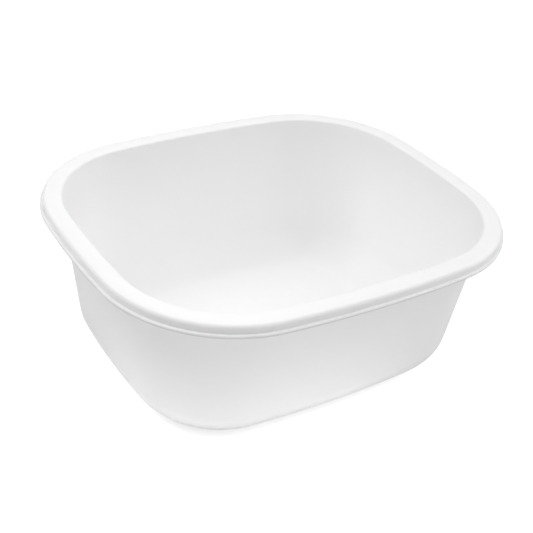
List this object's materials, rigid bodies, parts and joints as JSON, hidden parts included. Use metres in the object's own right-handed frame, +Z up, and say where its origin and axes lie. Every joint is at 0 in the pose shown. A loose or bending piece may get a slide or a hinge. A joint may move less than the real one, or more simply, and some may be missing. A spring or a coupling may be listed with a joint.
{
  "type": "foot basin",
  "caption": "Open rectangular foot basin with bowed sides, round corners, drafted walls and a wide rolled rim whose skirt ends in a small lip.",
  "frame": {"origin": "middle of the plan, on the plane the foot ring stands on", "axes": "+Z up out of the mouth, +X along the long side, +Y along the short side"},
  "size_m": [0.3728, 0.3188, 0.142],
  "materials": {
    "white_plastic": "white injection-moulded plastic with a soft gloss, coloured through"
  },
  "bodies": {
    "root": {"basin_shell": "white_plastic"}
  },
  "joints": []
}
